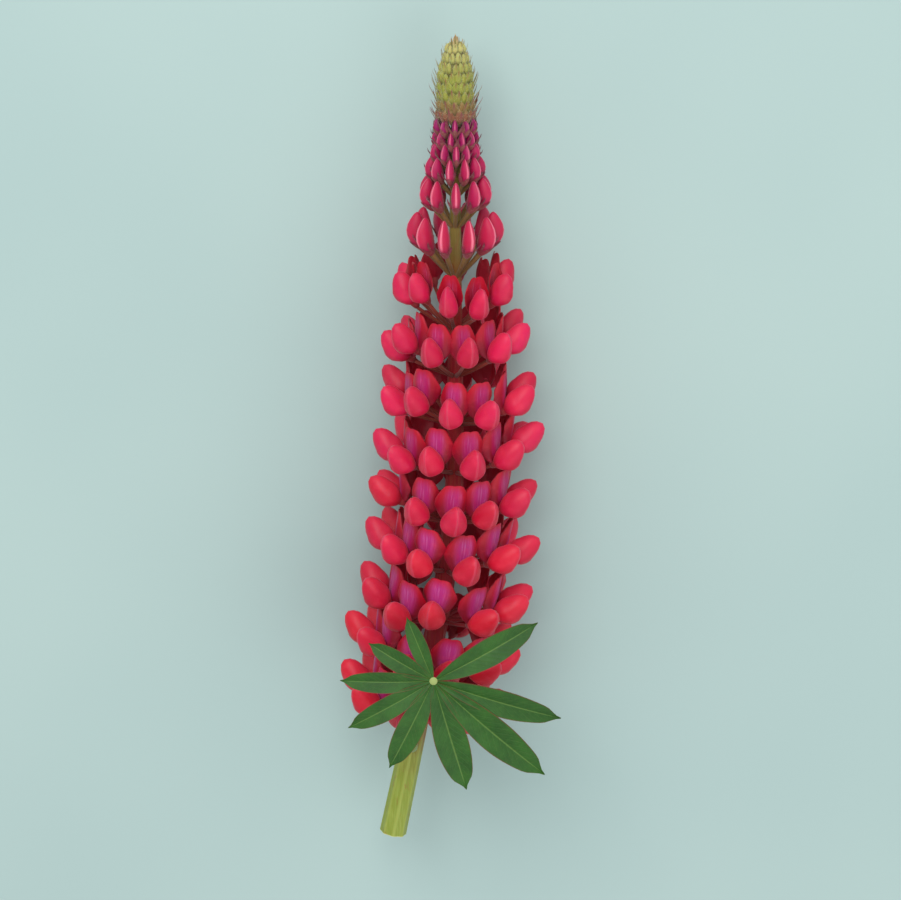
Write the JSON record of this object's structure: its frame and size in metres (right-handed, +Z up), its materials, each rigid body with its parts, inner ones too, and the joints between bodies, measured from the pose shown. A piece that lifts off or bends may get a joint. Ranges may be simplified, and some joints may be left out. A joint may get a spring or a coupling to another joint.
{
  "type": "lupin flower spike",
  "caption": "Cut lupin flower spike lying on its side: rings of coral-red pea flowers on a ribbed stem, flat buds above them, a green bud tip and a palmate leaf.",
  "frame": {"origin": "on the surface that the spike lies on, under the middle of its bounding box", "axes": "+Z up from the surface, +Y along the spike towards its green tip, +X to the right of it seen from above"},
  "size_m": [0.0858, 0.3258, 0.0855],
  "materials": {
    "stem": "fresh green, finely hairy",
    "leaf": "soft satin leaf",
    "tip_buds": "matt, finely hairy",
    "bud": "satin petal",
    "flower": "satin petal"
  },
  "bodies": {
    "root": {"stem": "stem", "leaf": "leaf", "tip_buds": "tip_buds", "bud_whorl_1": "bud", "bud_whorl_2": "bud", "bud_whorl_3": "bud", "bud_whorl_4": "bud", "bud_whorl_5": "bud", "bud_whorl_6": "bud", "flower_whorl_1": "flower", "flower_whorl_2": "flower", "flower_whorl_3": "flower", "flower_whorl_4": "flower", "flower_whorl_5": "flower", "flower_whorl_6": "flower", "flower_whorl_7": "flower", "flower_whorl_8": "flower", "flower_whorl_9": "flower"}
  },
  "joints": []
}
